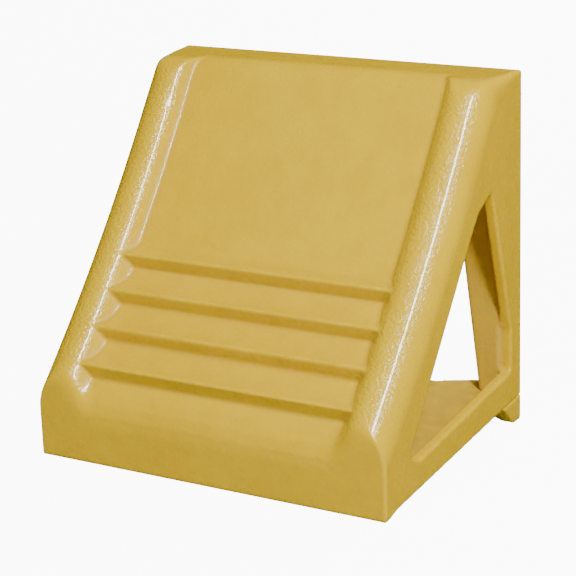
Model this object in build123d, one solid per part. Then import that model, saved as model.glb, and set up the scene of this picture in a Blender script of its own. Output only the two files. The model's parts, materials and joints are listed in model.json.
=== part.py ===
from build123d import *
import os
from math import atan2, cos, degrees, hypot, radians, sin, sqrt, tan

# Wheel chock for a truck or trailer. The toe points to -Y, +Z is up, the tyre rolls against the sloping face.
# Millimetres. While a piece is made, Y is counted from the toe's front face; place() then centres the chock.

# ---- driving dimensions -------------------------------------------------------------------------------------
WIDTH = 203.0
LENGTH = 156.0
HEIGHT = 189.6

# tyre face: a concave arc from the top of the toe to the front of the deck
TOE_CREST_Z = 45.2
DECK_FRONT_Y = 114.6
FACE_RADIUS = 986.0
TOE_ROUND = 9.0
DECK_ROUND = 19.0

# side rails: round beads on both sides of the tyre face
BEAD_OUTER_RADIUS = 14.8
BEAD_INNER_RADIUS = 10.0
BEAD_DRAFT = 50.0
WALL_DRAFT = 75.0
WALL_BREAK_DEPTH = 9.5
BEAD_X = WIDTH / 2 - BEAD_OUTER_RADIUS
SEAM_LIFT = 0.03

# the round edge of a rail fades out along the side edge of the deck
FADE_START_Y = 108.0
FADE_END_Y = 152.0
FADE_START_RADIUS = 10.5
FADE_END_RADIUS = 1.5

# recess between the rails, depths below the crest of the beads
PANEL_DEPTH = 8.2
PANEL_TOP_ROUND = 14.0
LIP_DEPTH = 2.6
STEP_COUNT = 4
FIRST_LIP_Z = 98.0
STEP_PITCH_Z = 15.9
RISER_HEIGHT = 7.2
RISER_UNDERCUT = 2.6
PANEL_RISE_RUN = 11.0
LIP_LAND = 1.2
RISE_POWER = 2.4
TOE_EDGE_Z = 30.5
TOE_EDGE_ROUND = 24.0
CHANNEL_DEPTH = 20.0

# casting walls
SIDE_WALL = 6.0
FACE_WALL = 15.5
DECK_WALL = 8.0
REAR_WALL = 6.5
TOE_WALL = 10.0

# underside: it climbs from the toe to the heel
TOE_LAND = 4.0
TOE_LIFT_Y = 12.0
UNDERSIDE_Z0 = 1.2
UNDERSIDE_RISE = 0.0806

# rear posts and rear opening
POST_FRONT_Y = 142.0
OPENING_HALF_LOW = 76.5
OPENING_HALF_HIGH = 60.5
OPENING_LOW_Z = 17.0
OPENING_DRAFT = 27.0
OPENING_TOP_Z = 150.0
OPENING_ROUND = 12.0

# stiffening ribs behind the tyre face
RIB_X = 32.0
RIB_THICK = 6.0
RIB_DEPTH = 11.0

# base plate
PLATE_THICK = 4.5
PLATE_GAP = 0.2
PLATE_NOTCH = 19.0

# heel cleat
CLEAT_FRONT_Y = 134.0
CLEAT_FLAT_Y = 146.6
CLEAT_CHAMFER = 1.0

# fasteners
BOLT_X = 89.5
BOLT_Y = 149.2
BOLT_RADIUS = 2.9
BOLT_HOLE_RADIUS = 3.2
BOLT_HEAD_RADIUS = 4.4
BOLT_HEAD_HEIGHT = 4.0
BOLT_HEAD_GAP = 0.4
BOLT_HEAD_SINK = 8.0
BOLT_REACH = 30.0
WASHER_RADIUS = 4.3
WASHER_THICK = 1.4
SOCKET_RADIUS = 2.4
SOCKET_DEPTH = 2.4
SCREW_X = (-60.0, 0.0, 60.0)
SCREW_Y = 22.0
SCREW_RADIUS = 2.9
SCREW_HOLE_RADIUS = 3.2
SCREW_HEAD_RADIUS = 6.0
SCREW_REACH = 16.0
BOSS_RADIUS = 8.0
BOSS_TOP_Z = 46.0
INSERT_WALL = 1.2
INSERT_LENGTH_BOLT = 14.0
INSERT_LENGTH_SCREW = 11.0


# ---- geometry helpers ---------------------------------------------------------------------------------------
def arc_centre(p0, p1, radius):
    """Centre of the face arc, on the tyre's side of the chord p0-p1."""
    mid = ((p0[0] + p1[0]) / 2, (p0[1] + p1[1]) / 2)
    dy, dz = p1[0] - p0[0], p1[1] - p0[1]
    chord = hypot(dy, dz)
    reach = sqrt(radius ** 2 - (chord / 2) ** 2)
    return (mid[0] - dz / chord * reach, mid[1] + dy / chord * reach)


CENTRE = arc_centre((0.0, TOE_CREST_Z), (DECK_FRONT_Y, HEIGHT), FACE_RADIUS)


def face_y(z, depth=0.0):
    """Y of the point at height z on the arc that lies depth below the bead crests."""
    return CENTRE[0] + sqrt((FACE_RADIUS + depth) ** 2 - (z - CENTRE[1]) ** 2)


def face_z(y, depth=0.0):
    """Z of the point at y on the arc that lies depth below the bead crests."""
    return CENTRE[1] - sqrt((FACE_RADIUS + depth) ** 2 - (y - CENTRE[0]) ** 2)


def underside_z(y):
    """Height of the sloping underside at y."""
    return UNDERSIDE_Z0 + UNDERSIDE_RISE * y


def down_face(y, z, run, depth_change=0.0):
    """Point reached from (y, z) by going run down the face and depth_change deeper into it."""
    angle = atan2(z - CENTRE[1], y - CENTRE[0])
    radius = hypot(z - CENTRE[1], y - CENTRE[0])
    angle -= run / radius
    radius += depth_change
    return (CENTRE[0] + radius * cos(angle), CENTRE[1] + radius * sin(angle))


def side_face(points, x=0.0):
    """Face in the plane of constant x through (y, z) points."""
    return make_face(Polyline(*[(x, y, z) for y, z in points], close=True))


def side_prism(points, x_low, x_high):
    """Prism of a (y, z) outline between two x planes."""
    return extrude(side_face(points, x_low), amount=x_high - x_low, dir=(1, 0, 0))


def rounded(points, radii):
    """(y, z) outline with its corners rounded: one radius for each point, 0 leaves it sharp."""
    out = []
    count = len(points)
    for i, (y, z) in enumerate(points):
        if radii[i] <= 0:
            out.append((y, z))
            continue
        ay, az = points[i - 1]
        by, bz = points[(i + 1) % count]
        ua = ((ay - y), (az - z))
        ub = ((by - y), (bz - z))
        la, lb = hypot(*ua), hypot(*ub)
        ua = (ua[0] / la, ua[1] / la)
        ub = (ub[0] / lb, ub[1] / lb)
        turn = abs(atan2(ua[0] * ub[1] - ua[1] * ub[0], ua[0] * ub[0] + ua[1] * ub[1]))
        cut = radii[i] / tan(turn / 2)
        bis = (ua[0] + ub[0], ua[1] + ub[1])
        lbis = hypot(*bis)
        reach = radii[i] / sin(turn / 2)
        cy, cz = y + bis[0] / lbis * reach, z + bis[1] / lbis * reach
        start = (y + ua[0] * cut, z + ua[1] * cut)
        end = (y + ub[0] * cut, z + ub[1] * cut)
        a0 = atan2(start[1] - cz, start[0] - cy)
        a1 = atan2(end[1] - cz, end[0] - cy)
        sweep = (a1 - a0 + radians(540)) % radians(360) - radians(180)
        steps = max(2, int(abs(degrees(sweep)) / 12))
        out += [(cy + radii[i] * cos(a0 + sweep * k / steps), cz + radii[i] * sin(a0 + sweep * k / steps))
                for k in range(steps + 1)]
    return out


def face_strip(outline, low=-52.0, high=-26.0):
    """Sweep an (x, depth) outline along the tyre face; depth counts inwards from the bead crests."""
    start = radians(low)
    plane = Plane(origin=(0, CENTRE[0], CENTRE[1]), x_dir=(1, 0, 0), z_dir=(0, -sin(start), cos(start)))
    section = plane * outline
    return revolve(section, Axis((0, CENTRE[0], CENTRE[1]), (1, 0, 0)), high - low)


def place(solid):
    """Move a piece from toe coordinates to the chock's own frame."""
    return Pos(0, -LENGTH / 2, 0) * solid


def cylinder_up(x, y, z_low, z_high, radius):
    """Upright cylinder between two heights."""
    return Pos(x, y, (z_low + z_high) / 2) * Cylinder(radius, z_high - z_low)


# ---- chock body: outside ------------------------------------------------------------------------------------
def outer_block():
    """Side outline, with the concave tyre face, across the whole width."""
    toe_top = (0.0, TOE_CREST_Z)
    after_toe = (face_y(TOE_CREST_Z + 12.0), TOE_CREST_Z + 12.0)
    deck_front = (DECK_FRONT_Y, HEIGHT)
    before_deck = (face_y(HEIGHT - 14.0), HEIGHT - 14.0)
    toe_arc = rounded([(0.0, 20.0), toe_top, after_toe], [0, TOE_ROUND, 0])[1:-1]
    deck_arc = rounded([before_deck, deck_front, (DECK_FRONT_Y + 20.0, HEIGHT)], [0, DECK_ROUND, 0])[1:-1]
    x = -WIDTH / 2
    mid_z = (toe_arc[-1][1] + deck_arc[0][1]) / 2
    edges = [
        Polyline((x, LENGTH, HEIGHT), (x, LENGTH, underside_z(LENGTH)), (x, TOE_LIFT_Y, underside_z(TOE_LIFT_Y)),
                 (x, TOE_LAND, 0), (x, 0, 0), (x, *toe_arc[0])),
        ThreePointArc((x, *toe_arc[0]), (x, *toe_arc[len(toe_arc) // 2]), (x, *toe_arc[-1])),
        ThreePointArc((x, *toe_arc[-1]), (x, face_y(mid_z), mid_z), (x, *deck_arc[0])),
        ThreePointArc((x, *deck_arc[0]), (x, *deck_arc[len(deck_arc) // 2]), (x, *deck_arc[-1])),
        Line((x, *deck_arc[-1]), (x, LENGTH, HEIGHT)),
    ]
    return extrude(make_face(edges), amount=WIDTH, dir=(1, 0, 0))


def bead_arc(radius, side, tilt_end):
    """Three points of a bead's quarter arc, lifted by a hair so that it crosses the flat faces cleanly."""
    centre_x = BEAD_X + side * SEAM_LIFT
    centre_d = radius - SEAM_LIFT
    return [(centre_x + side * radius * sin(a), FACE_RADIUS + centre_d - radius * cos(a))
            for a in (0.0, radians(tilt_end) / 2, radians(tilt_end))]


def mirrored(points):
    """The same (x, radius) points on the other side of the chock."""
    return [(-x, r) for x, r in points]


def bead_edge_cutter(side):
    """What the round outer edge of one rail leaves out."""
    arc = bead_arc(BEAD_OUTER_RADIUS, 1, 90.0)
    low, outside = FACE_RADIUS - 6.0, WIDTH / 2 + 5.0
    box = [arc[2], (outside, arc[2][1]), (outside, low), (arc[0][0], low), arc[0]]
    if side < 0:
        arc, box = mirrored(arc), mirrored(box)
    return face_strip(make_face([ThreePointArc(*arc), Polyline(*box)]))


def channel():
    """Space between the rails: round bead shoulders, drafted walls, then steep walls below."""
    arc = bead_arc(BEAD_INNER_RADIUS, -1, BEAD_DRAFT)
    shoulder_x, shoulder_r = arc[2]
    break_r = FACE_RADIUS + WALL_BREAK_DEPTH
    break_x = shoulder_x - (break_r - shoulder_r) / tan(radians(BEAD_DRAFT))
    floor_r = FACE_RADIUS + CHANNEL_DEPTH
    floor_x = break_x - (floor_r - break_r) / tan(radians(WALL_DRAFT))
    top = (arc[0][0], FACE_RADIUS - 12.0)
    wall = [arc[2], (break_x, break_r), (floor_x, floor_r)]
    lines = [
        ThreePointArc(*arc),
        Polyline(*wall, *reversed(mirrored(wall))),
        ThreePointArc(*reversed(mirrored(arc))),
        Polyline(*mirrored([arc[0], top]), top, arc[0]),
    ]
    return face_strip(make_face(lines))


def deck_edge_cutter(side):
    """What the fading round edge leaves out along one side edge of the deck."""
    sections = []
    for y, radius in ((FADE_START_Y, FADE_START_RADIUS), (FADE_END_Y, FADE_END_RADIUS)):
        edge_x, out_x = side * WIDTH / 2, side * (WIDTH / 2 + 3)
        start = (edge_x - side * radius, y, HEIGHT)
        centre = (edge_x - side * radius, HEIGHT - radius)
        middle = (centre[0] + side * radius * sin(radians(45)), y, centre[1] + radius * cos(radians(45)))
        end = (edge_x, y, HEIGHT - radius)
        box = [end, (out_x, y, end[2]), (out_x, y, HEIGHT + 3), (start[0], y, HEIGHT + 3), start]
        sections.append(make_face([ThreePointArc(start, middle, end), Polyline(*box)]))
    return loft(sections, ruled=True)


def curved_rise(start_depth, end_depth, end, run, count=7):
    """Points of a floor that leaves parallel to the face and curls up to a lip, from deep to shallow."""
    points = []
    for k in range(count):
        share = k / count
        depth = end_depth + (start_depth - end_depth) * (1 - share ** RISE_POWER)
        points.append(down_face(*end, -run * (1 - share), depth - end_depth))
    return points


def recess_outline():
    """(y, z) outline of what is taken out: the panel, the four steps and the run-out over the toe."""
    deck_y = face_y(HEIGHT, PANEL_DEPTH)
    panel_start = (face_y(HEIGHT - 12.0, PANEL_DEPTH), HEIGHT - 12.0)
    points = rounded([(deck_y + 12.0, HEIGHT), (deck_y, HEIGHT), panel_start], [0, PANEL_TOP_ROUND, 0])[:-1]
    panel_end_z = FIRST_LIP_Z + PANEL_RISE_RUN
    spans = 5
    points += [(face_y(z, PANEL_DEPTH), z)
               for z in (panel_start[1] + (panel_end_z - panel_start[1]) * k / spans for k in range(spans + 1))]
    depth, run = PANEL_DEPTH, PANEL_RISE_RUN
    for k in range(STEP_COUNT):
        lip_z = FIRST_LIP_Z - STEP_PITCH_Z * k
        lip = (face_y(lip_z, LIP_DEPTH), lip_z)
        land = down_face(*lip, -LIP_LAND)
        points += curved_rise(depth, LIP_DEPTH, land, run)[1:] + [land, lip]
        foot = (lip[0] + RISER_UNDERCUT, lip_z - RISER_HEIGHT)
        depth = hypot(foot[0] - CENTRE[0], foot[1] - CENTRE[1]) - FACE_RADIUS
        next_z = lip_z - STEP_PITCH_Z
        run = hypot(foot[0] - face_y(next_z, LIP_DEPTH), foot[1] - next_z) - LIP_LAND
        points.append(foot)
    points += rounded([foot, (0.0, TOE_EDGE_Z), (0.0, 0.0)], [0, TOE_EDGE_ROUND, 0])[1:-1]
    points += [(0.0, 5.0), (-60.0, 5.0), (-60.0, HEIGHT + 40.0), (deck_y + 12.0, HEIGHT + 40.0)]
    return points


def window_outline():
    """(y, z) outline of the triangular window in a side wall."""
    corners = [(25.0, 24.5), (36.0, 19.2), (143.2, 30.5), (143.2, 53.0), (119.5, 134.0), (104.0, 126.0),
               (96.0, 116.5)]
    return rounded(corners, [4.0, 2.5, 3.0, 12.0, 2.5, 6.0, 14.0])


def cavity():
    """Inside of the casting, open at the bottom."""
    top_z = HEIGHT - DECK_WALL
    rear = LENGTH - REAR_WALL
    start_z = face_z(TOE_WALL, FACE_WALL)
    mid_z = (start_z + top_z) / 2
    x = -(WIDTH / 2 - SIDE_WALL)
    edges = [
        Polyline((x, face_y(top_z, FACE_WALL), top_z), (x, rear, top_z), (x, rear, -10), (x, TOE_WALL, -10),
                 (x, TOE_WALL, start_z)),
        ThreePointArc((x, TOE_WALL, start_z), (x, face_y(mid_z, FACE_WALL), mid_z),
                      (x, face_y(top_z, FACE_WALL), top_z)),
    ]
    return extrude(make_face(edges), amount=-2 * x, dir=(1, 0, 0))


def rib(x):
    """Rib along the back of the tyre face."""
    tip = FACE_RADIUS + FACE_WALL + RIB_DEPTH
    outline = Pos(x, (FACE_RADIUS + FACE_WALL - 2 + tip) / 2) * Rectangle(RIB_THICK, RIB_DEPTH + 2)
    return face_strip(outline, low=-42.0, high=-34.0)


def rear_opening():
    """Opening in the rear wall, wider at the bottom and flared towards the inside."""
    slope = (OPENING_HALF_LOW - OPENING_HALF_HIGH) / (OPENING_TOP_Z - OPENING_LOW_Z)
    foot = OPENING_HALF_LOW + slope * (OPENING_LOW_Z + 10)
    outline = rounded([(-foot, -10.0), (foot, -10.0), (OPENING_HALF_HIGH, OPENING_TOP_Z),
                       (-OPENING_HALF_HIGH, OPENING_TOP_Z)], [0, 0, OPENING_ROUND, OPENING_ROUND])
    section = make_face(Polyline(*[(u, LENGTH, v) for u, v in outline], close=True))
    depth = LENGTH - POST_FRONT_Y + 2
    flare = extrude(section, amount=depth, dir=(0, -1, 0), taper=-OPENING_DRAFT)
    return flare + extrude(section, amount=5, dir=(0, 1, 0))


def plate_outline_prism(gap, rear_extra):
    """Sloping slab that the base plate fills, or its seat in the body."""
    half = WIDTH / 2 - SIDE_WALL - gap
    front = TOE_WALL + gap
    rear = LENGTH + rear_extra
    points = [(front, underside_z(front)), (rear, underside_z(rear)),
              (rear, underside_z(rear) + PLATE_THICK), (front, underside_z(front) + PLATE_THICK)]
    return side_prism(points, -half, half)


def build_body():
    """The whole casting."""
    body = outer_block()
    for side in (-1, 1):
        body -= bead_edge_cutter(side)
        body -= deck_edge_cutter(side)
    body -= channel() & side_prism(recess_outline(), -110, 110)
    posts = Pos(0, (POST_FRONT_Y + LENGTH) / 2, HEIGHT / 2) * Box(WIDTH, LENGTH - POST_FRONT_Y, HEIGHT + 40)
    hollow = cavity() - posts
    for x in (-RIB_X, RIB_X):
        hollow -= rib(x)
    for x in SCREW_X:
        hollow -= cylinder_up(x, SCREW_Y, 0, BOSS_TOP_Z, BOSS_RADIUS)
    body -= hollow
    body -= rear_opening()
    below = [(TOE_WALL, -20.0), (LENGTH + 5, -20.0), (LENGTH + 5, underside_z(LENGTH + 5) + PLATE_THICK),
             (TOE_WALL, underside_z(TOE_WALL) + PLATE_THICK)]
    body -= side_prism(below, -(WIDTH / 2 - SIDE_WALL), WIDTH / 2 - SIDE_WALL)
    window = window_outline()
    for side in (-1, 1):
        x_low = min(side * (WIDTH / 2 - SIDE_WALL - 1), side * (WIDTH / 2 + 2))
        body -= side_prism(window, x_low, x_low + SIDE_WALL + 3)
    for x, y, radius, length in insert_seats():
        z0 = underside_z(y) + PLATE_THICK
        body -= cylinder_up(x, y, z0 - 2, z0 + length + 3, radius)
    return body


# ---- fasteners and plates -----------------------------------------------------------------------------------
def insert_seats():
    """x, y, outer radius and length of every threaded insert."""
    seats = [(side * BOLT_X, BOLT_Y, BOLT_HOLE_RADIUS + INSERT_WALL, INSERT_LENGTH_BOLT) for side in (-1, 1)]
    seats += [(x, SCREW_Y, SCREW_HOLE_RADIUS + INSERT_WALL, INSERT_LENGTH_SCREW) for x in SCREW_X]
    return seats


def build_inserts():
    """Steel inserts pressed into the casting from below."""
    parts = []
    for x, y, radius, length in insert_seats():
        z0 = underside_z(y + radius) + PLATE_THICK + 0.3
        tube = cylinder_up(x, y, z0, z0 + length, radius)
        tube -= cylinder_up(x, y, z0 - 1, z0 + length + 1, radius - INSERT_WALL - 0.3)
        parts.append(tube)
    return parts


def build_base_plate():
    """Floor plate with an arched rear edge between the posts."""
    plate = plate_outline_prism(PLATE_GAP, 0.0)
    half = OPENING_HALF_LOW - 1
    radius = (half ** 2 + PLATE_NOTCH ** 2) / (2 * PLATE_NOTCH)
    plate -= cylinder_up(0, LENGTH - PLATE_NOTCH + radius, -5, 40, radius)
    for x in SCREW_X:
        z0 = underside_z(SCREW_Y)
        plate -= cylinder_up(x, SCREW_Y, z0 - 5, z0 + 15, SCREW_HOLE_RADIUS)
        cone = Pos(x, SCREW_Y, z0 + 1.5) * Cone(SCREW_HEAD_RADIUS + 1.7, SCREW_HEAD_RADIUS - 2.7, 4.4)
        plate -= cone
    for side in (-1, 1):
        plate -= cylinder_up(side * BOLT_X, BOLT_Y, 0, 40, BOLT_HOLE_RADIUS)
    return plate


def build_heel_cleat():
    """Full-width bar with a slanted front face that bites into the ground."""
    points = [(CLEAT_FRONT_Y, underside_z(CLEAT_FRONT_Y)), (CLEAT_FLAT_Y, 0.0),
              (LENGTH - CLEAT_CHAMFER, 0.0), (LENGTH, CLEAT_CHAMFER), (LENGTH, underside_z(LENGTH))]
    cleat = side_prism(points, -WIDTH / 2, WIDTH / 2)
    for side in (-1, 1):
        cleat -= cylinder_up(side * BOLT_X, BOLT_Y, -2, BOLT_HEAD_SINK, BOLT_HEAD_RADIUS + BOLT_HEAD_GAP)
        cleat -= cylinder_up(side * BOLT_X, BOLT_Y, -2, 30, BOLT_HOLE_RADIUS)
    return cleat


def build_bolts():
    """Socket-head bolts that hold the heel cleat and the rear of the plate to the posts."""
    parts = []
    for side in (-1, 1):
        head_top = BOLT_HEAD_SINK - WASHER_THICK
        bolt = cylinder_up(side * BOLT_X, BOLT_Y, head_top - BOLT_HEAD_HEIGHT, head_top, BOLT_HEAD_RADIUS)
        bolt += cylinder_up(side * BOLT_X, BOLT_Y, head_top - 0.5, BOLT_REACH, BOLT_RADIUS)
        socket = extrude(RegularPolygon(SOCKET_RADIUS, 6), amount=SOCKET_DEPTH)
        bolt -= Pos(side * BOLT_X, BOLT_Y, head_top - BOLT_HEAD_HEIGHT) * socket
        parts.append(bolt)
    return parts


def build_washers():
    """Spring washers under the bolt heads, with their slit."""
    parts = []
    for side in (-1, 1):
        low = BOLT_HEAD_SINK - WASHER_THICK
        ring = cylinder_up(side * BOLT_X, BOLT_Y, low, BOLT_HEAD_SINK, WASHER_RADIUS)
        ring -= cylinder_up(side * BOLT_X, BOLT_Y, low - 1, BOLT_HEAD_SINK + 1, BOLT_HOLE_RADIUS - 0.2)
        slit = Pos(side * BOLT_X + WASHER_RADIUS, BOLT_Y, low) * Rot(0, 0, 25) * Box(4.0, 0.8, 6.0)
        parts.append(ring - slit)
    return parts


def build_screws():
    """Countersunk screws that hold the front of the base plate."""
    parts = []
    for x in SCREW_X:
        z0 = underside_z(SCREW_Y)
        head = Pos(x, SCREW_Y, z0 + 1.9) * Cone(SCREW_HEAD_RADIUS, SCREW_RADIUS, 3.2)
        screw = head + cylinder_up(x, SCREW_Y, z0 + 0.5, z0 + SCREW_REACH, SCREW_RADIUS)
        socket = extrude(RegularPolygon(SOCKET_RADIUS, 6), amount=SOCKET_DEPTH)
        screw -= Pos(x, SCREW_Y, z0 + 0.1) * socket
        parts.append(screw)
    return parts


# ---- output -------------------------------------------------------------------------------------------------
os.makedirs("parts", exist_ok=True)
NODES = {
    "chock_body": [build_body()],
    "base_plate": [build_base_plate()],
    "heel_cleat": [build_heel_cleat()],
    "heel_cleat_bolts": build_bolts(),
    "heel_cleat_washers": build_washers(),
    "base_plate_screws": build_screws(),
    "threaded_inserts": build_inserts(),
}
for name, solids in NODES.items():
    placed = [place(solid) for solid in solids]
    shape = placed[0] if len(placed) == 1 else Compound(children=placed)
    export_step(shape, f"parts/{name}.step")
    print(name, round(sum(solid.volume for solid in placed) / 1000, 1), "cm3")
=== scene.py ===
"""Looks of the cast wheel chock: soft casting surfaces, yellow enamel, plated fasteners and a plain studio."""

import json
import logging
import math
from dataclasses import dataclass, field
from enum import Enum

import bmesh
import bpy
import numpy as np
from mathutils import Matrix, Vector

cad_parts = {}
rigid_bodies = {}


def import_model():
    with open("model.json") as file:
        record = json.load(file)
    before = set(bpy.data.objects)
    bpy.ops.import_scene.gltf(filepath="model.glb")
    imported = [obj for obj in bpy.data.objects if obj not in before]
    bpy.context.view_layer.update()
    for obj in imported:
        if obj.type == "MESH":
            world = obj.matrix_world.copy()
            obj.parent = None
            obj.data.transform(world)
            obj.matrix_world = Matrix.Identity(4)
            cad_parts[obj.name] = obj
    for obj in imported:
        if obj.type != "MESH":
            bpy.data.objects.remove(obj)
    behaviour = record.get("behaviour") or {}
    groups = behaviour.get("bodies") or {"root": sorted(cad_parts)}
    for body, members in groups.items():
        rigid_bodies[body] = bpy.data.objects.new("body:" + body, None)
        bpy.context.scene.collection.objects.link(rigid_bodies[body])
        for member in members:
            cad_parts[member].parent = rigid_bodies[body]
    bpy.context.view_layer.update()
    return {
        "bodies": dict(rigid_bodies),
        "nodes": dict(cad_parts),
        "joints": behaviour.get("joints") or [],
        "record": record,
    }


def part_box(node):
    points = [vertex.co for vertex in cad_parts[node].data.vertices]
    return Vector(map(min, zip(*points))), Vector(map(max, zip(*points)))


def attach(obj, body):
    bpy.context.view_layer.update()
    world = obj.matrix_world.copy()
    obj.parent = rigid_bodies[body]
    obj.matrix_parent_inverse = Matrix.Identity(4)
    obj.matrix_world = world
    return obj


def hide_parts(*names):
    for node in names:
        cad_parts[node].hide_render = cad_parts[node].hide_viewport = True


logging.basicConfig(level=logging.INFO, format="%(message)s")
LOG = logging.getLogger("wheel_chock")

Vec3 = tuple[float, float, float]
Colour = tuple[float, float, float, float]
EDGE_ATTRIBUTE = "edge"
RELAX_SHARE = 0.5
RELAX_SWELL = 1.06
SHANK_OVERLAP = 0.0004
FLOAT = "NodeSocketFloat"
VECTOR = "NodeSocketVector"


class Node(Enum):
    """Names of the CAD nodes."""

    BODY = "chock_body"
    PLATE = "base_plate"
    CLEAT = "heel_cleat"
    BOLTS = "heel_cleat_bolts"
    WASHERS = "heel_cleat_washers"
    SCREWS = "base_plate_screws"
    INSERTS = "threaded_inserts"


class Slot(Enum):
    """Names of the record's material slots; finish_piece is given one but does not use it."""

    CASTING = "casting_paint"
    PLATE = "plate_paint"
    FASTENER = "fastener_steel"


def rgb(red: float, green: float, blue: float) -> Colour:
    """Colour socket value from linear channels.

    Args:
        red: Linear red from 0 to 1.
        green: Linear green from 0 to 1.
        blue: Linear blue from 0 to 1.

    Returns:
        The colour with full alpha.
    """
    return (red, green, blue, 1.0)


WHITE = rgb(1.0, 1.0, 1.0)
MIDDLE: Vec3 = (0.0, 0.0, 0.08)


class Wiring:
    """Short way to add and join the nodes of one tree."""

    def __init__(self, tree: bpy.types.NodeTree) -> None:
        """Start on an empty tree.

        Args:
            tree: Shader or geometry node tree to fill.
        """
        self.tree = tree
        self.column = 0

    def add(self, kind: str, **settings: object) -> bpy.types.Node:
        """Add a node and set its plain properties.

        Args:
            kind: The node's type name.
            **settings: Property names and values.

        Returns:
            The new node.
        """
        node = self.tree.nodes.new(kind)
        node.location = (self.column * 180, 0)
        self.column += 1
        for name, value in settings.items():
            setattr(node, name, value)
        return node

    def feed(self, node: bpy.types.Node, **values: object) -> bpy.types.Node:
        """Set or join inputs; a socket is joined, anything else becomes the constant.

        Args:
            node: The node that receives.
            **values: Input names with underscores for spaces, or `i` and the input's number.

        Returns:
            The same node.
        """
        for name, value in values.items():
            socket = node.inputs[int(name[1:])] if name[1:].isdigit() else node.inputs[name.replace("_", " ")]
            if isinstance(value, bpy.types.NodeSocket):
                self.tree.links.new(value, socket)
            else:
                socket.default_value = value
        return node

    def math(self, operation: str, *values: object, clamp: bool = False) -> bpy.types.NodeSocket:
        """Add a math node.

        Args:
            operation: The math operation.
            *values: Sockets or numbers for its inputs.
            clamp: Whether the result is held between 0 and 1.

        Returns:
            The result's socket.
        """
        node = self.add("ShaderNodeMath", operation=operation, use_clamp=clamp)
        self.feed(node, **{f"i{k}": value for k, value in enumerate(values)})
        return node.outputs[0]

    def noise(self, vector: bpy.types.NodeSocket, scale: float, detail: float = 3.0,
              roughness: float = 0.55) -> bpy.types.NodeSocket:
        """Add a noise texture.

        Args:
            vector: Coordinates it reads.
            scale: Cells per metre.
            detail: Octaves.
            roughness: How strong the small octaves are.

        Returns:
            The noise value's socket.
        """
        node = self.add("ShaderNodeTexNoise")
        self.feed(node, Vector=vector, Scale=scale, Detail=detail, Roughness=roughness)
        return node.outputs[0]

    def ramp(self, value: bpy.types.NodeSocket, low: float, high: float, to_low: float = 0.0,
             to_high: float = 1.0) -> bpy.types.NodeSocket:
        """Map a range smoothly onto another.

        Args:
            value: What is mapped.
            low: Input that gives to_low.
            high: Input that gives to_high.
            to_low: Result at low.
            to_high: Result at high.

        Returns:
            The mapped value's socket.
        """
        node = self.add("ShaderNodeMapRange", interpolation_type="SMOOTHSTEP")
        self.feed(node, i0=value, i1=low, i2=high, i3=to_low, i4=to_high)
        return node.outputs[0]

    def mix(self, factor: object, first: object, second: object) -> bpy.types.NodeSocket:
        """Mix two colours.

        Args:
            factor: 0 gives the first colour, 1 the second.
            first: Colour or socket.
            second: Colour or socket.

        Returns:
            The mixed colour's socket.
        """
        node = self.add("ShaderNodeMix", data_type="RGBA")
        self.feed(node, i0=factor, i6=first, i7=second)
        return node.outputs[2]

    def bump(self, height: bpy.types.NodeSocket, distance: float, strength: float = 1.0,
             normal: bpy.types.NodeSocket | None = None) -> bpy.types.NodeSocket:
        """Add a bump node.

        Args:
            height: Height from 0 to 1.
            distance: Depth in metres that a height of 1 stands for.
            strength: Share of the effect.
            normal: Normal it starts from, such as another bump's.

        Returns:
            The normal's socket.
        """
        node = self.add("ShaderNodeBump")
        self.feed(node, Height=height, Distance=distance, Strength=strength)
        if normal is not None:
            self.feed(node, Normal=normal)
        return node.outputs[0]


def shader_group(name: str, inputs: dict[str, str], outputs: dict[str, str]) -> tuple[Wiring, bpy.types.Node,
                                                                                  bpy.types.Node]:
    """Start a shader node group.

    Args:
        name: The group's name.
        inputs: Input names and socket types.
        outputs: Output names and socket types.

    Returns:
        The wiring, the group's input node and its output node.
    """
    tree = bpy.data.node_groups.new(name, "ShaderNodeTree")
    for label, kind in inputs.items():
        tree.interface.new_socket(label, in_out="INPUT", socket_type=kind)
    for label, kind in outputs.items():
        tree.interface.new_socket(label, in_out="OUTPUT", socket_type=kind)
    wiring = Wiring(tree)
    return wiring, wiring.add("NodeGroupInput"), wiring.add("NodeGroupOutput")


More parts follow.
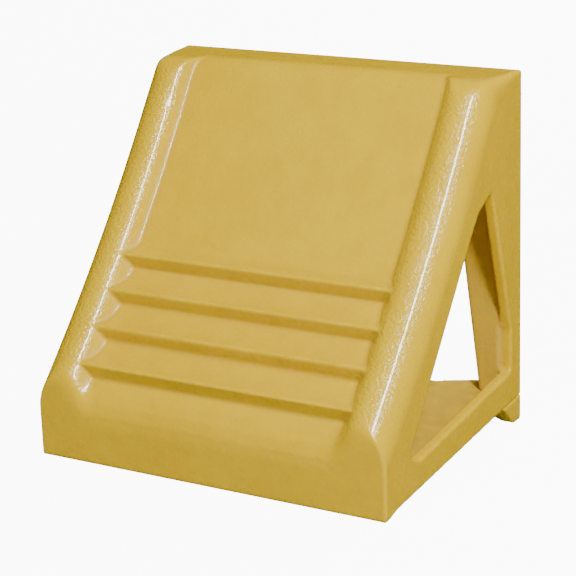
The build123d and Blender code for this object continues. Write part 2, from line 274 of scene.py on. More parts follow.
@dataclass(frozen=True)
class SharedEffects:
    """Node groups that more than one finish uses."""

    def enamel_skin(self) -> bpy.types.NodeTree:
        """Granular brushed-on enamel: colour drift, gloss drift and the skin's fine relief.

        Returns:
            The group, with Mottle, Gloss Drift and Normal outputs.
        """
        w, given, out = shader_group("enamel_skin", {"Vector": VECTOR, "Grain": FLOAT},
                                     {"Mottle": FLOAT, "Gloss Drift": FLOAT, "Normal": VECTOR})
        place, grain = given.outputs["Vector"], given.outputs["Grain"]
        clouds = w.noise(place, 22.0, 4.0, 0.6)
        patches = w.noise(place, 90.0, 3.0, 0.55)
        mottle = w.math("MULTIPLY_ADD", patches, 0.4, w.math("MULTIPLY", clouds, 0.6))
        sand = w.noise(place, 560.0, 2.0, 0.6)
        swell = w.noise(place, 150.0, 2.0, 0.5)
        waves = w.bump(swell, 0.0004, 0.5)
        skin = w.add("ShaderNodeBump")
        w.feed(skin, Height=sand, Distance=0.0005, Strength=grain, Normal=waves)
        w.feed(out, Mottle=mottle, Gloss_Drift=w.noise(place, 320.0, 3.0, 0.6), Normal=skin.outputs[0])
        return w.tree

    def chips(self) -> bpy.types.NodeTree:
        """Small chips and rubs that gather on raised edges.

        Returns:
            The group, with Chip and Rub outputs.
        """
        w, given, out = shader_group("edge_chips", {"Vector": VECTOR, "Edge": FLOAT},
                                     {"Chip": FLOAT, "Rub": FLOAT})
        place, edge = given.outputs["Vector"], given.outputs["Edge"]
        speck = w.noise(place, 260.0, 4.0, 0.65)
        patch = w.noise(place, 34.0, 2.0, 0.5)
        spread = w.math("MULTIPLY", w.ramp(patch, 0.56, 0.75), w.ramp(edge, 0.6, 1.0))
        chip = w.math("MULTIPLY", w.ramp(speck, 0.56, 0.62), spread)
        rub = w.math("MULTIPLY", w.ramp(w.noise(place, 70.0, 3.0, 0.6), 0.42, 0.66), w.ramp(edge, 0.3, 1.0))
        w.feed(out, Chip=chip, Rub=rub)
        return w.tree


class Library:
    """The shared node groups, built once."""

    def __init__(self, effects: SharedEffects) -> None:
        """Build the groups.

        Args:
            effects: Their recipes.
        """
        self.skin = effects.enamel_skin()
        self.chips = effects.chips()


def new_material(name: str) -> tuple[bpy.types.Material, Wiring, bpy.types.Node]:
    """Empty material with a principled shader joined to its output.

    Args:
        name: The material's name.

    Returns:
        The material, its wiring and the principled shader.
    """
    material = bpy.data.materials.new(name)
    material.use_nodes = True
    material.node_tree.nodes.clear()
    wiring = Wiring(material.node_tree)
    shader = wiring.add("ShaderNodeBsdfPrincipled")
    output = wiring.add("ShaderNodeOutputMaterial")
    wiring.feed(output, Surface=shader.outputs[0])
    return material, wiring, shader


@dataclass(frozen=True)
class Enamel:
    """Glossy yellow enamel over a casting or a plate."""

    name: str
    colour: Colour = rgb(0.68, 0.435, 0.002)
    pale: Colour = rgb(0.74, 0.48, 0.002)
    # The deep tone serves both the random colour drift and the painted shade in creases.
    deep_tone_and_shade: Colour = rgb(0.55, 0.33, 0.004)
    metal: Colour = rgb(0.42, 0.41, 0.39)
    roughness: float = 0.22
    coat: float = 0.4
    coat_roughness: float = 0.06
    grain: float = 0.35
    rail_grain: float = 1.8
    wear: float = 0.15
    # Brown painted into the cavity as its shade, then the share of it.
    inside_shade_colour: Colour = rgb(0.36, 0.235, 0.022)
    inside_shade_share: float = 0.75
    inside_roughness: float = 0.35
    plain_share: float = 0.75
    # Share of painted shade in creases, then their extra roughness.
    crease_shade_share: float = 0.55
    hollow_roughness: float = 0.5
    rub_share: float = 0.35
    rub_roughness: float = 0.12

    def material(self, library: Library) -> bpy.types.Material:
        """Build the finish.

        Args:
            library: Shared node groups.

        Returns:
            The material.
        """
        material, w, shader = new_material(self.name)
        place = w.add("ShaderNodeTexCoord").outputs["Object"]
        edge = w.add("ShaderNodeAttribute", attribute_name=EDGE_ATTRIBUTE).outputs["Fac"]
        skin = w.add("ShaderNodeGroup", node_tree=library.skin)
        across = w.add("ShaderNodeSeparateXYZ")
        w.feed(across, Vector=place)
        grain = w.math("MULTIPLY_ADD", self.rail_mask(w, across), self.rail_grain - self.grain, self.grain)
        w.feed(skin, Vector=place, Grain=grain)
        chips = w.add("ShaderNodeGroup", node_tree=library.chips)
        w.feed(chips, Vector=place, Edge=edge)
        tone = w.ramp(skin.outputs["Mottle"], 0.35, 0.65)
        colour = w.mix(tone, self.deep_tone_and_shade, self.pale)
        colour = w.mix(self.plain_share, colour, self.colour)
        # Painted shade: creases and concave corners are darkened towards the deep tone and made rougher.
        crease_shade = w.ramp(edge, -0.6, 0.0, self.crease_shade_share, 0.0)
        colour = w.mix(crease_shade, colour, self.deep_tone_and_shade)
        colour = w.mix(w.math("MULTIPLY", chips.outputs["Rub"], self.rub_share), colour, self.pale)
        # Painted shade: the cavity behind the tyre face is darkened towards a brown, in noise patches given as
        # thin enamel, and made rougher.
        inside = self.inside_mask(w, across)
        thin = w.ramp(w.noise(place, 130.0, 5.0, 0.65), 0.3, 0.62, 0.55, 1.0)
        thin = w.math("MULTIPLY", w.math("MULTIPLY", inside, thin), self.inside_shade_share)
        colour = w.mix(thin, colour, self.inside_shade_colour)
        bare = w.math("MULTIPLY", chips.outputs["Chip"], self.wear)
        colour = w.mix(bare, colour, self.metal)
        gloss = w.ramp(skin.outputs["Gloss Drift"], 0.3, 0.7, -0.07, 0.09)
        rough = w.math("ADD", self.roughness, gloss)
        rough = w.math("MULTIPLY_ADD", chips.outputs["Rub"], self.rub_roughness, rough)
        rough = w.math("MULTIPLY_ADD", crease_shade, self.hollow_roughness, rough)
        rough = w.math("MULTIPLY_ADD", inside, self.inside_roughness, rough)
        w.feed(shader, Base_Color=colour, Roughness=rough, Metallic=bare,
               Coat_Weight=self.coat, Coat_Roughness=self.coat_roughness, Normal=skin.outputs["Normal"])
        return material

    def rail_mask(self, w: Wiring, place: bpy.types.Node) -> bpy.types.NodeSocket:
        """Mask of the two side rails, where the grain is coarse.

        Args:
            w: The material's wiring.
            place: Separate XYZ node with the place in the row frame.

        Returns:
            1 on the rails between the toe and the deck, and 0 elsewhere.
        """
        inner_side, outer_side = (0.076, 0.084), (0.095, 0.1005)
        toe_top, deck_front = (0.040, 0.052), (0.030, 0.044)
        off_middle = w.math("ABSOLUTE", place.outputs["X"])
        rail = w.ramp(off_middle, *inner_side)
        before_wall = w.ramp(off_middle, *outer_side, 1.0, 0.0)
        above_toe = w.ramp(place.outputs["Z"], *toe_top)
        below_deck = w.ramp(place.outputs["Y"], *deck_front, 1.0, 0.0)
        return w.math("MULTIPLY", w.math("MULTIPLY", rail, before_wall), w.math("MULTIPLY", above_toe, below_deck))

    def inside_mask(self, w: Wiring, place: bpy.types.Node) -> bpy.types.NodeSocket:
        """Mask of the cavity behind the tyre face, where painted shade darkens the colour and the enamel is
        rougher.

        Args:
            w: The material's wiring.
            place: Separate XYZ node with the place in the row frame.

        Returns:
            1 in the cavity and 0 elsewhere.
        """
        # into and down are the Y and Z parts of the direction square to the tyre face.
        into, down = 0.784, 0.621
        toe_y, toe_z = -0.078, 0.045
        wall, blend = 0.0125, 0.002
        side, rear, toe, deck = (0.0955, 0.0975), (0.0755, 0.0770), (-0.0700, -0.0685), (0.1830, 0.1850)
        depth = w.math("SUBTRACT", w.math("MULTIPLY", w.math("SUBTRACT", place.outputs["Y"], toe_y), into),
                       w.math("MULTIPLY", w.math("SUBTRACT", place.outputs["Z"], toe_z), down))
        behind = w.math("MULTIPLY", w.ramp(depth, wall, wall + blend), w.ramp(place.outputs["Y"], *toe))
        between = w.ramp(w.math("ABSOLUTE", place.outputs["X"]), *side, 1.0, 0.0)
        before_rear = w.ramp(place.outputs["Y"], *rear, 1.0, 0.0)
        under_deck = w.ramp(place.outputs["Z"], *deck, 1.0, 0.0)
        return w.math("MULTIPLY", w.math("MULTIPLY", behind, between), w.math("MULTIPLY", before_rear, under_deck))


@dataclass(frozen=True)
class PlatedSteel:
    """Zinc-plated steel with fine turning marks and dull spots."""

    name: str
    colour: Colour = rgb(0.56, 0.54, 0.48)
    dull: Colour = rgb(0.30, 0.28, 0.24)
    roughness: float = 0.34

    def material(self, library: Library) -> bpy.types.Material:
        """Build the finish.

        Args:
            library: Shared node groups; not used.

        Returns:
            The material.
        """
        material, w, shader = new_material(self.name)
        place = w.add("ShaderNodeTexCoord").outputs["Object"]
        spots = w.ramp(w.noise(place, 420.0, 4.0, 0.62), 0.48, 0.7)
        colour = w.mix(spots, self.colour, self.dull)
        rough = w.math("MULTIPLY_ADD", spots, 0.25, self.roughness)
        marks = w.noise(place, 2600.0, 2.0, 0.5)
        w.feed(shader, Base_Color=colour, Roughness=rough, Metallic=1.0, Normal=w.bump(marks, 0.00003))
        return material


def copy_mesh(source: bpy.types.Object, name: str, merge: float = 1e-6) -> bpy.types.Object:
    """Copy a CAD node's mesh with its seams closed.

    Args:
        source: The CAD node's object.
        name: Name of the new piece.
        merge: Distance below which points are joined.

    Returns:
        The new object, at the origin.
    """
    mesh = source.data.copy()
    mesh.name = name
    mesh.transform(source.matrix_world)
    mesh.materials.clear()
    work = bmesh.new()
    work.from_mesh(mesh)
    bmesh.ops.remove_doubles(work, verts=work.verts, dist=merge)
    bmesh.ops.recalc_face_normals(work, faces=work.faces)
    work.to_mesh(mesh)
    work.free()
    piece = bpy.data.objects.new(name, mesh)
    bpy.context.scene.collection.objects.link(piece)
    return piece


def bake(piece: bpy.types.Object) -> bpy.types.Object:
    """Turn a piece's modifiers into plain mesh.

    Args:
        piece: Object with live modifiers.

    Returns:
        The same object, with none.
    """
    bpy.context.view_layer.update()
    graph = bpy.context.evaluated_depsgraph_get()
    mesh = bpy.data.meshes.new_from_object(piece.evaluated_get(graph), depsgraph=graph)
    piece.modifiers.clear()
    piece.data = mesh
    return piece


def remesh(piece: bpy.types.Object, voxel: float) -> None:
    """Give a piece an even, closed mesh.

    Args:
        piece: The object.
        voxel: Size of the mesh's faces in metres.
    """
    voxels = piece.modifiers.new("voxels", "REMESH")
    voxels.mode = "VOXEL"
    voxels.voxel_size = voxel
    bake(piece)


def shade_smooth(piece: bpy.types.Object) -> None:
    """Shade every face of a piece smooth.

    Args:
        piece: The object.
    """
    piece.data.polygons.foreach_set("use_smooth", [True] * len(piece.data.polygons))
    piece.data.update()


def mesh_edges(mesh: bpy.types.Mesh) -> np.ndarray:
    """Vertex numbers of every edge.

    Args:
        mesh: The mesh.

    Returns:
        One row of two numbers for each edge.
    """
    ends = np.empty(len(mesh.edges) * 2, dtype=np.int64)
    mesh.edges.foreach_get("vertices", ends)
    return ends.reshape(-1, 2)


def vertex_points(mesh: bpy.types.Mesh) -> np.ndarray:
    """Places of a mesh's vertices.

    Args:
        mesh: The mesh.

    Returns:
        One row of three coordinates for each vertex.
    """
    points = np.empty(len(mesh.vertices) * 3)
    mesh.vertices.foreach_get("co", points)
    return points.reshape(-1, 3)


def neighbour_mean(values: np.ndarray, ends: np.ndarray, counts: np.ndarray) -> np.ndarray:
    """Mean of each vertex's neighbours.

    Args:
        values: One row for each vertex.
        ends: Vertex numbers of every edge.
        counts: Number of neighbours of each vertex.

    Returns:
        The means, in the same shape.
    """
    total = np.zeros_like(values)
    np.add.at(total, ends[:, 0], values[ends[:, 1]])
    np.add.at(total, ends[:, 1], values[ends[:, 0]])
    return total / counts[:, None]


def soften(piece: bpy.types.Object, weight: np.ndarray | float, passes: int, swell: float = 0.0) -> None:
    """Relax a mesh where the weight asks for it.

    Args:
        piece: The object.
        weight: Share from 0 to 1, the same everywhere or one for each vertex.
        passes: How often it is relaxed.
        swell: Opposite step after each pass, which keeps the volume and the broad shape.
    """
    mesh = piece.data
    points = vertex_points(mesh)
    ends = mesh_edges(mesh)
    counts = np.maximum(np.bincount(ends.ravel(), minlength=len(points)), 1)
    chosen = np.broadcast_to(weight, len(points))[:, None]
    for _ in range(passes):
        points = points + chosen * (neighbour_mean(points, ends, counts) - points)
        if swell:
            points = points - swell * chosen * (neighbour_mean(points, ends, counts) - points)
    mesh.vertices.foreach_set("co", points.astype(np.float32).ravel())
    mesh.update()


@dataclass(frozen=True)
class SoftSpot:
    """A place on both sides of the body with a broader blend than its edges."""

    centre: Vec3
    reach: Vec3
    passes: int

    def weight(self, mesh: bpy.types.Mesh) -> np.ndarray:
        """Share by which each vertex is relaxed.

        Args:
            mesh: The remeshed body.

        Returns:
            Shares from 0 to 1.
        """
        points = vertex_points(mesh)
        points[:, 0] = np.abs(points[:, 0])
        reach = (points - np.array(self.centre)) / np.array(self.reach)
        return np.clip(1.5 - np.linalg.norm(reach, axis=1), 0.0, 1.0)


def store_edge_mask(piece: bpy.types.Object, spread: int, scale: float) -> None:
    """Store how far each vertex stands proud of its smoothed surroundings, for wear on raised edges and painted
    shade in creases.

    Args:
        piece: Object with a closed mesh.
        spread: Smoothing passes, which set the width of an edge.
        scale: Metres of relief that count as a full edge.
    """
    mesh = piece.data
    points = vertex_points(mesh)
    normals = np.empty(len(mesh.vertices) * 3, dtype=np.float32)
    mesh.vertex_normals.foreach_get("vector", normals)
    ends = mesh_edges(mesh)
    counts = np.maximum(np.bincount(ends.ravel(), minlength=len(points)), 1)
    smooth = points
    for _ in range(spread):
        smooth = neighbour_mean(smooth, ends, counts)
    relief = ((points - smooth) * normals.reshape(-1, 3)).sum(axis=1) / scale
    attribute = mesh.attributes.new(EDGE_ATTRIBUTE, "FLOAT", "POINT")
    attribute.data.foreach_set("value", np.clip(relief, -1.0, 1.0).astype(np.float32))


def finish_piece(piece: bpy.types.Object, material: bpy.types.Material, slot: Slot, *nodes: Node) -> None:
    """Give a piece its material and tie it to the chock.

    Args:
        piece: The finished object.
        material: Its finish.
        slot: The record's material slot; not used.
        *nodes: CAD nodes that it stands for.
    """
    piece.data.materials.clear()
    piece.data.materials.append(material)
    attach(piece, "root")
    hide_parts(*[node.value for node in nodes])
    LOG.info("%s: %d faces", piece.name, len(piece.data.polygons))


@dataclass
class Casting:
    """The cast body, with soft sand-cast edges."""

    voxel: float = 0.0009
    smooth_passes: int = 14
    triangles: int = 190000
    spot_share: float = 0.6
    edge_spread: int = 10
    edge_relief: float = 0.0006
    soft_spots: tuple[SoftSpot, ...] = (
        SoftSpot((0.079, -0.077, 0.037), (0.011, 0.007, 0.011), 60),
        SoftSpot((0.098, 0.036, 0.184), (0.014, 0.016, 0.010), 50),
    )
    finish: Enamel = Enamel("casting_enamel", inside_shade_colour=rgb(0.50, 0.325, 0.035))

    def build(self, frame: dict, library: Library) -> bpy.types.Object:
        """Remesh the CAD body and soften it.

        Args:
            library: Shared node groups.

        Returns:
            The casting.
        """
        piece = copy_mesh(frame["nodes"][Node.BODY.value], "casting")
        remesh(piece, self.voxel)
        soften(piece, RELAX_SHARE, self.smooth_passes, swell=RELAX_SWELL)
        for spot in self.soft_spots:
            soften(piece, self.spot_share * spot.weight(piece.data), spot.passes)
        thin = piece.modifiers.new("thin", "DECIMATE")
        thin.ratio = self.triangles / (2 * len(piece.data.polygons))
        bake(piece)
        shade_smooth(piece)
        store_edge_mask(piece, self.edge_spread, self.edge_relief)
        finish_piece(piece, self.finish.material(library), Slot.CASTING, Node.BODY)
        return piece


@dataclass
class Plate:
    """A flat piece under the casting, with softly broken edges."""

    node: Node
    name: str
    voxel: float = 0.0011
    smooth_passes: int = 3
    edge_spread: int = 8
    edge_relief: float = 0.0004
    finish: Enamel = Enamel("plate_enamel", roughness=0.30, wear=0.8)

    def build(self, frame: dict, library: Library) -> bpy.types.Object:
        """Remesh the CAD piece and break its edges.

        Args:
            library: Shared node groups.

        Returns:
            The piece.
        """
        piece = copy_mesh(frame["nodes"][self.node.value], self.name)
        remesh(piece, self.voxel)
        soften(piece, RELAX_SHARE, self.smooth_passes, swell=RELAX_SWELL)
        shade_smooth(piece)
        store_edge_mask(piece, self.edge_spread, self.edge_relief)
        finish_piece(piece, self.finish.material(library), Slot.PLATE, self.node)
        return piece


@dataclass(frozen=True)
class FastenerShape:
    """Sizes of one kind of fastener, head down, in metres."""

    low_radius: float
    high_radius: float
    head_height: float
    shank_radius: float
    hole_sides: int
    hole_radius: float
    hole_depth: float
    knurl: float = 0.0
    slit: float = 0.0
    bevel: float = 0.0002
    bevel_segments: int = 2
    bevel_degrees: float = 50.0
    rim_sides: int = 72


class FastenerTree:
    """Geometry Nodes tree that repeats one fastener along a row."""

    NUMBERS = ("Low Radius", "High Radius", "Head Height", "Shank Radius", "Shank Length", "Hole Radius",
               "Hole Depth", "Knurl", "Slit")
    COUNTS = ("Count", "Rim Sides", "Hole Sides")

    def __init__(self) -> None:
        """Build the tree."""
        self.tree = bpy.data.node_groups.new("fastener_row", "GeometryNodeTree")
        self.sockets: dict[str, str] = {}
        for label in self.NUMBERS:
            self.declare(label, FLOAT)
        for label in self.COUNTS:
            self.declare(label, "NodeSocketInt")
        for label in ("Start", "Step"):
            self.declare(label, VECTOR)
        self.declare("Material", "NodeSocketMaterial")
        self.tree.interface.new_socket("Geometry", in_out="OUTPUT", socket_type="NodeSocketGeometry")
        self.w = Wiring(self.tree)
        self.given = self.w.add("NodeGroupInput").outputs
        self.finish(self.cut(self.blank()))

    def declare(self, label: str, kind: str) -> None:
        """Add a named input.

        Args:
            label: Input name.
            kind: Socket type.
        """
        self.sockets[label] = self.tree.interface.new_socket(label, in_out="INPUT", socket_type=kind).identifier

    def lift(self, height: bpy.types.NodeSocket | float) -> bpy.types.NodeSocket:
        """Vector that points up by a height.

        Args:
            height: Metres.

        Returns:
            The vector's socket.
        """
        node = self.w.add("ShaderNodeCombineXYZ")
        self.w.feed(node, Z=height)
        return node.outputs[0]

    def moved(self, mesh: bpy.types.NodeSocket, offset: bpy.types.NodeSocket,
              chosen: bpy.types.NodeSocket | None = None) -> bpy.types.NodeSocket:
        """Shift points of a mesh.

        Args:
            mesh: The mesh.
            offset: Shift of each point.
            chosen: Points that move, or every point.

        Returns:
            The shifted mesh.
        """
        node = self.w.add("GeometryNodeSetPosition")
        self.w.feed(node, Geometry=mesh, Offset=offset)
        if chosen is not None:
            self.w.feed(node, Selection=chosen)
        return node.outputs[0]

    def prism(self, sides: object, low: object, high: object, depth: object, base: object) -> bpy.types.NodeSocket:
        """Upright cone, cylinder or prism.

        Args:
            sides: Sides of its outline.
            low: Radius at the bottom.
            high: Radius at the top.
            depth: Height.
            base: Height of its bottom.

        Returns:
            The mesh.
        """
        node = self.w.add("GeometryNodeMeshCone")
        self.w.feed(node, Vertices=sides, Radius_Bottom=low, Radius_Top=high, Depth=depth)
        return self.moved(node.outputs["Mesh"], self.lift(base))

    def blank(self) -> bpy.types.NodeSocket:
        """Head with its knurl, and the shank.

        Returns:
            The uncut fastener.
        """
        head = self.prism(self.given["Rim Sides"], self.given["Low Radius"], self.given["High Radius"],
                          self.given["Head Height"], 0.0)
        index = self.w.add("GeometryNodeInputIndex").outputs[0]
        odd = self.w.math("MODULO", index, 2.0)
        place = self.w.add("GeometryNodeInputPosition").outputs[0]
        flat = self.w.add("ShaderNodeVectorMath", operation="MULTIPLY")
        self.w.feed(flat, i0=place, i1=(1.0, 1.0, 0.0))
        outward = self.w.add("ShaderNodeVectorMath", operation="NORMALIZE")
        self.w.feed(outward, i0=flat.outputs[0])
        inward = self.w.add("ShaderNodeVectorMath", operation="SCALE")
        self.w.feed(inward, i0=outward.outputs[0], Scale=self.w.math("MULTIPLY", self.given["Knurl"], -1.0))
        head = self.moved(head, inward.outputs[0], odd)
        sides = 40
        radius = self.given["Shank Radius"]
        shank = self.prism(sides, radius, radius, self.given["Shank Length"],
                           self.w.math("SUBTRACT", self.given["Head Height"], SHANK_OVERLAP))
        return self.boolean("UNION", head, shank)

    def boolean(self, operation: str, first: bpy.types.NodeSocket,
                *others: bpy.types.NodeSocket) -> bpy.types.NodeSocket:
        """Join or cut solids.

        Args:
            operation: UNION or DIFFERENCE.
            first: The solid that is joined or cut.
            *others: The other solids.

        Returns:
            The result.
        """
        node = self.w.add("GeometryNodeMeshBoolean", operation=operation, solver="EXACT")
        meshes = node.inputs["Mesh 2"]
        if operation == "UNION":
            self.tree.links.new(first, meshes)
        else:
            self.tree.links.new(first, node.inputs["Mesh 1"])
        for other in others:
            self.tree.links.new(other, meshes)
        return node.outputs["Mesh"]

    def cut(self, blank: bpy.types.NodeSocket) -> bpy.types.NodeSocket:
        """Cut the hole or socket, and a spring washer's slit.

        Args:
            blank: The uncut fastener.

        Returns:
            The cut fastener.
        """
        margin, slit_height = 0.001, 0.02
        hole = self.prism(self.given["Hole Sides"], self.given["Hole Radius"], self.given["Hole Radius"],
                          self.w.math("ADD", self.given["Hole Depth"], margin), -margin)
        box = self.w.add("GeometryNodeMeshCube")
        size = self.w.add("ShaderNodeCombineXYZ")
        self.w.feed(size, X=self.given["Low Radius"], Y=self.given["Slit"], Z=slit_height)
        self.w.feed(box, Size=size.outputs[0])
        reach = self.w.add("ShaderNodeCombineXYZ")
        self.w.feed(reach, X=self.given["Low Radius"])
        gap = self.moved(box.outputs["Mesh"], reach.outputs[0])
        split = self.w.add("GeometryNodeSwitch", input_type="GEOMETRY")
        self.w.feed(split, Switch=self.w.math("GREATER_THAN", self.given["Slit"], 0.0))
        self.tree.links.new(gap, split.inputs["True"])
        return self.boolean("DIFFERENCE", blank, hole, split.outputs[0])

    def finish(self, fastener: bpy.types.NodeSocket) -> None:
        """Repeat the fastener, make it real and give it its material.

        Args:
            fastener: One fastener at the origin.
        """
        row = self.w.add("GeometryNodeMeshLine")
        self.w.feed(row, Count=self.given["Count"], Start_Location=self.given["Start"], Offset=self.given["Step"])
        copies = self.w.add("GeometryNodeInstanceOnPoints")
        self.w.feed(copies, Points=row.outputs[0], Instance=fastener)
        real = self.w.add("GeometryNodeRealizeInstances")
        self.w.feed(real, Geometry=copies.outputs[0])
        coated = self.w.add("GeometryNodeSetMaterial")
        self.w.feed(coated, Geometry=real.outputs[0], Material=self.given["Material"])
        output = self.w.add("NodeGroupOutput")
        self.w.feed(output, Geometry=coated.outputs[0])


@dataclass
class Hardware:
    """Bolts, spring washers, countersunk screws and inserts, plated and slightly worn."""

    bolt: FastenerShape = FastenerShape(
        low_radius=0.0044, high_radius=0.0044, head_height=0.004, shank_radius=0.0029,
        hole_sides=6, hole_radius=0.0024, hole_depth=0.0024, knurl=0.0002)
    washer: FastenerShape = FastenerShape(
        low_radius=0.0043, high_radius=0.0043, head_height=0.0014, shank_radius=0.0,
        hole_sides=40, hole_radius=0.003, hole_depth=0.004, slit=0.0008)
    # The shank is thinner than the cone's top, so that the two solids share no surface.
    screw: FastenerShape = FastenerShape(
        low_radius=0.006, high_radius=0.0029, head_height=0.0032, shank_radius=0.0025,
        hole_sides=6, hole_radius=0.0024, hole_depth=0.0024)
    fasteners: PlatedSteel = PlatedSteel("zinc_plate")
    inserts: PlatedSteel = PlatedSteel("insert_steel", colour=rgb(0.46, 0.46, 0.47), roughness=0.42)

    def build(self, frame: dict, library: Library) -> None:
        """Build the rows and give the inserts their finish.

        Args:
            library: Shared node groups.
        """
        plated = self.fasteners.material(library)
        tree = FastenerTree()
        self.row(tree, Node.BOLTS, "cleat_bolts", self.bolt, 2, plated)
        self.row(tree, Node.WASHERS, "cleat_washers", self.washer, 2, plated)
        self.row(tree, Node.SCREWS, "plate_screws", self.screw, 3, plated)
        plain = self.inserts.material(library)
        piece = frame["nodes"][Node.INSERTS.value]
        for slot in piece.material_slots:
            slot.material = plain
        LOG.info("%s: finish set", piece.name)

    def row(self, tree: FastenerTree, node: Node, name: str, shape: FastenerShape, count: int,
            material: bpy.types.Material) -> bpy.types.Object:
        """Build one row of fasteners in the place of a CAD node.

        Args:
            tree: The shared tree.
            node: CAD node that the row stands for.
            name: Name of the piece.
            shape: Sizes of one fastener.
            count: Fasteners in the row.
            material: Their finish.

        Returns:
            The row.
        """
        low, high = (Vector(corner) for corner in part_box(node.value))
        edge = max(shape.low_radius, shape.high_radius)
        first = Vector((low.x + edge, (low.y + high.y) / 2, low.z))
        span = (high.x - low.x - 2 * edge) / (count - 1)
        shank = max(high.z - low.z - shape.head_height + SHANK_OVERLAP, 0.0)
        values = {
            "Low Radius": shape.low_radius, "High Radius": shape.high_radius, "Head Height": shape.head_height,
            "Shank Radius": shape.shank_radius, "Shank Length": shank, "Hole Sides": shape.hole_sides,
            "Hole Radius": shape.hole_radius, "Hole Depth": shape.hole_depth, "Knurl": shape.knurl,
            "Slit": shape.slit, "Rim Sides": shape.rim_sides, "Count": count, "Start": first,
            "Step": Vector((span, 0.0, 0.0)), "Material": material,
        }
        piece = bpy.data.objects.new(name, bpy.data.meshes.new(name))
        bpy.context.scene.collection.objects.link(piece)
        nodes = piece.modifiers.new("row", "NODES")
        nodes.node_group = tree.tree
        for label, value in values.items():
            nodes[tree.sockets[label]] = value
        bevel = piece.modifiers.new("bevel", "BEVEL")
        bevel.width = shape.bevel
        bevel.segments = shape.bevel_segments
        bevel.limit_method = "ANGLE"
        bevel.angle_limit = math.radians(shape.bevel_degrees)
        bake(piece)
        finish_piece(piece, material, Slot.FASTENER, node)
        return piece


@dataclass(frozen=True)
class AreaLight:
    """One soft rectangular lamp."""

    name: str
    place: Vec3
    aim: Vec3
    width: float
    height: float
    power: float
    glossy: bool = True

    def build(self) -> bpy.types.Object:
        """Put the lamp in the scene.

        Returns:
            The lamp.
        """
        data = bpy.data.lights.new(self.name, "AREA")
        data.shape = "RECTANGLE"
        data.size = self.width
        data.size_y = self.height
        data.energy = self.power
        lamp = bpy.data.objects.new(self.name, data)
        bpy.context.scene.collection.objects.link(lamp)
        lamp.location = self.place
        lamp.visible_glossy = self.glossy
        lamp.rotation_euler = (Vector(self.aim) - Vector(self.place)).to_track_quat("-Z", "Y").to_euler()
        return lamp


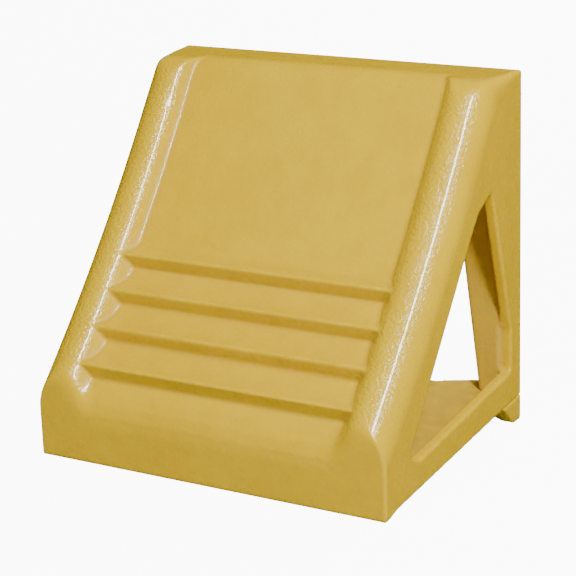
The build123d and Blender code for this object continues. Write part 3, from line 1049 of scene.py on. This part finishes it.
@dataclass
class Studio:
    """Pale floor, soft lamps and the camera."""

    lamps: list[AreaLight] = field(default_factory=lambda: [
        AreaLight("high_soft", (-0.25, -1.25, 1.85), MIDDLE, 1.2, 0.9, 9.0, glossy=False),
        AreaLight("right_soft", (1.9, -0.3, 0.6), MIDDLE, 1.0, 1.0, 1.6, glossy=False),
        AreaLight("rear_soft", (0.0, 1.8, 1.0), MIDDLE, 1.4, 1.2, 44.0, glossy=False),
        AreaLight("left_soft", (-1.6, 1.0, 0.9), MIDDLE, 1.0, 1.0, 14.0, glossy=False),
        AreaLight("rail_strip", (0.80, -0.68, 1.16), (0.0, 0.0, 0.10), 0.14, 0.62, 36.0),
    ])
    camera_place: Vec3 = (0.5091, -0.8433, 0.3851)
    camera_azimuth: float = 30.877
    camera_elevation: float = 17.115
    camera_roll: float = -1.868
    lens: float = 124.2
    sensor_width: float = 36.0
    floor_reach: float = 6.0
    floor_colour: Colour = rgb(0.42, 0.42, 0.42)
    floor_glow: float = 10.0
    world_strength: float = 0.17
    backdrop_strength: float = 9.0

    def build(self) -> None:
        """Build the floor, the world, the lamps and the camera."""
        self.floor()
        self.world()
        for lamp in self.lamps:
            lamp.build()
        self.camera()
        LOG.info("studio: %d lamps", len(self.lamps))

    def floor(self) -> bpy.types.Object:
        """Lay a wide pale floor under the chock.

        Returns:
            The floor.
        """
        mesh = bpy.data.meshes.new("floor")
        work = bmesh.new()
        bmesh.ops.create_grid(work, x_segments=1, y_segments=1, size=self.floor_reach)
        work.to_mesh(mesh)
        work.free()
        material, w, shader = new_material("floor_paper")
        place = w.add("ShaderNodeTexCoord").outputs["Object"]
        fibres = w.noise(place, 240.0, 3.0, 0.6)
        seen = w.add("ShaderNodeLightPath").outputs["Is Camera Ray"]
        w.feed(shader, Base_Color=self.floor_colour, Roughness=0.7, Normal=w.bump(fibres, 0.00005, 0.4),
               Emission_Strength=w.math("MULTIPLY", seen, self.floor_glow))
        w.feed(shader, Emission_Color=WHITE)
        mesh.materials.append(material)
        floor = bpy.data.objects.new("floor", mesh)
        bpy.context.scene.collection.objects.link(floor)
        floor.visible_glossy = False
        return floor

    def world(self) -> None:
        """Light the surroundings evenly."""
        world = bpy.data.worlds.new("surroundings")
        world.use_nodes = True
        w = Wiring(world.node_tree)
        background = next(n for n in world.node_tree.nodes if n.type == "BACKGROUND")
        path = w.add("ShaderNodeLightPath")
        diffuse = w.math("MULTIPLY", w.math("SUBTRACT", 1.0, path.outputs["Is Glossy Ray"]), self.world_strength)
        extra = w.math("MULTIPLY_ADD", path.outputs["Is Camera Ray"], self.backdrop_strength, diffuse)
        w.feed(background, Color=WHITE, Strength=extra)
        bpy.context.scene.world = world

    def camera(self) -> bpy.types.Object:
        """Put the camera where the chock is seen from.

        Returns:
            The camera.
        """
        data = bpy.data.cameras.new("camera")
        data.lens = self.lens
        data.sensor_width = self.sensor_width
        camera = bpy.data.objects.new("camera", data)
        bpy.context.scene.collection.objects.link(camera)
        azimuth, tilt, roll = (math.radians(a) for a in (
            self.camera_azimuth, self.camera_elevation, self.camera_roll))
        back = Vector((math.sin(azimuth) * math.cos(tilt), -math.cos(azimuth) * math.cos(tilt), math.sin(tilt)))
        right = Vector((math.cos(azimuth), math.sin(azimuth), 0.0))
        up = back.cross(right)
        rolled_right = math.cos(roll) * right + math.sin(roll) * up
        rolled_up = math.cos(roll) * up - math.sin(roll) * right
        turn = Matrix((rolled_right, rolled_up, back)).transposed()
        camera.matrix_world = Matrix.Translation(self.camera_place) @ turn.to_4x4()
        bpy.context.scene.camera = camera
        return camera


def main() -> None:
    """Build the chock's looks and the studio."""
    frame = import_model()
    library = Library(SharedEffects())
    Casting().build(frame, library)
    Plate(Node.PLATE, "floor_plate").build(frame, library)
    Plate(Node.CLEAT, "cleat_bar").build(frame, library)
    Hardware().build(frame, library)
    Studio().build()


if __name__ == "__main__":
    main()
